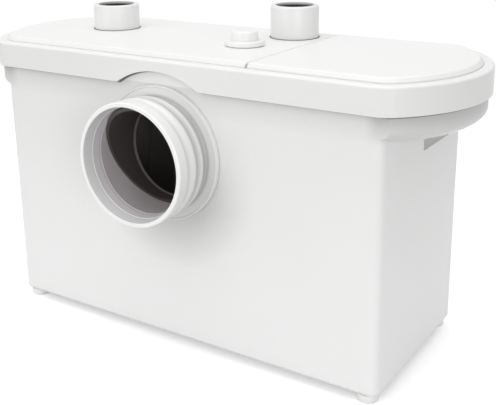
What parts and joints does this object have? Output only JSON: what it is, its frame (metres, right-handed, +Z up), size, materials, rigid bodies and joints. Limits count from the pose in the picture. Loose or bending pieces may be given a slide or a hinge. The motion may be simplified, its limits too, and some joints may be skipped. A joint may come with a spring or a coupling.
{
  "type": "sewage lifting station",
  "caption": "Floor-standing sewage lifting station: a white tank with a front inlet spigot, under a round-ended lid with pipe tubes and a vent cap, around a macerating pump.",
  "frame": {"origin": "on the floor, under the middle of the overall length and depth", "axes": "+X along the front to the right, +Y from the front to the back, +Z up"},
  "size_m": [0.5024, 0.2292, 0.3056],
  "materials": {
    "body_white": "satin",
    "tube_white": "satin",
    "dark_plastic": "moulded",
    "grey_plastic": "moulded",
    "rubber_black": "matt",
    "filter_foam": "open foam",
    "stainless": "machined",
    "bearing_steel": "ground",
    "cast_aluminium": "as cast",
    "motor_paint": "semi-gloss",
    "lamination_steel": "stacked sheet",
    "winding_copper": "varnished wire",
    "switch_red": "moulded",
    "board_green": "solder mask",
    "terminal_plastic": "moulded",
    "capacitor_can": "smooth"
  },
  "bodies": {
    "station": {"tank": "body_white", "feet": "body_white", "lid_gasket": "rubber_black", "inlet_spigot": "body_white", "inlet_seal": "rubber_black", "inlet_backnut": "dark_plastic", "macerator_chamber": "dark_plastic", "chamber_screws": "stainless", "pump_cover": "dark_plastic", "pump_volute": "dark_plastic", "pump_screws": "stainless", "shaft_seal": "rubber_black", "motor_flange": "cast_aluminium", "motor_screws": "stainless", "lower_bearing": "bearing_steel", "upper_bearing": "bearing_steel", "motor_can": "motor_paint", "motor_end_cap": "cast_aluminium", "stator_core": "lamination_steel", "stator_windings": "winding_copper", "discharge_elbow": "rubber_black", "elbow_clamps": "stainless", "check_valve_body": "grey_plastic", "socket_seal": "rubber_black", "flap_pin": "stainless", "pressure_bell": "grey_plastic", "switch_housing": "grey_plastic", "microswitch": "dark_plastic", "control_box": "grey_plastic", "control_box_lid": "grey_plastic", "control_lid_screws": "stainless", "control_mount_screws": "stainless", "circuit_board": "board_green", "terminal_block": "terminal_plastic", "run_capacitor": "capacitor_can", "cable_gland": "dark_plastic", "gland_nut": "dark_plastic"},
    "rotor": {"motor_shaft": "stainless", "rotor_core": "cast_aluminium", "impeller": "dark_plastic", "cutter_spacer": "stainless", "cutter_blade": "stainless", "cutter_nut": "stainless"},
    "flap": {"check_flap": "rubber_black"},
    "diaphragm": {"switch_diaphragm": "rubber_black"},
    "plunger": {"switch_plunger": "switch_red"},
    "lid": {"lid_frame": "body_white", "left_deck": "body_white", "top_inlet_tube": "tube_white", "top_inlet_seal": "rubber_black", "discharge_tube": "tube_white", "discharge_tube_seal": "rubber_black"},
    "cover": {"service_cover": "body_white"},
    "vent": {"vent_cap": "tube_white", "vent_seal": "rubber_black", "vent_filter": "filter_foam"}
  },
  "joints": [
    {"name": "rotor_spin", "type": "hinge", "parent": "station", "child": "rotor", "pos_m": [0.1332, 0.0353, 0.1], "axis": [0, 0, 1], "continuous": true},
    {"name": "flap_swing", "type": "hinge", "parent": "station", "child": "flap", "pos_m": [0.0642, 0.0713, 0.1603], "axis": [0, 1, 0], "range_deg": [0, 65]},
    {"name": "diaphragm_lift", "type": "slide", "parent": "station", "child": "diaphragm", "axis": [0, 0, 1], "range_m": [0, 0.0025], "stiffness_N_per_m": 150},
    {"name": "plunger_lift", "type": "slide", "parent": "station", "child": "plunger", "axis": [0, 0, 1], "range_m": [0, 0.0025]},
    {"name": "lid_lift", "type": "slide", "parent": "station", "child": "lid", "axis": [0, 0, 1], "range_m": [0, 0.12]},
    {"name": "cover_lift", "type": "slide", "parent": "lid", "child": "cover", "axis": [0, 0, 1], "range_m": [0, 0.06]},
    {"name": "vent_lift", "type": "slide", "parent": "lid", "child": "vent", "axis": [0, 0, 1], "range_m": [0, 0.03]}
  ],
  "couplings": [
    {"joint": "plunger_lift", "follows": "diaphragm_lift", "ratio": 1}
  ]
}
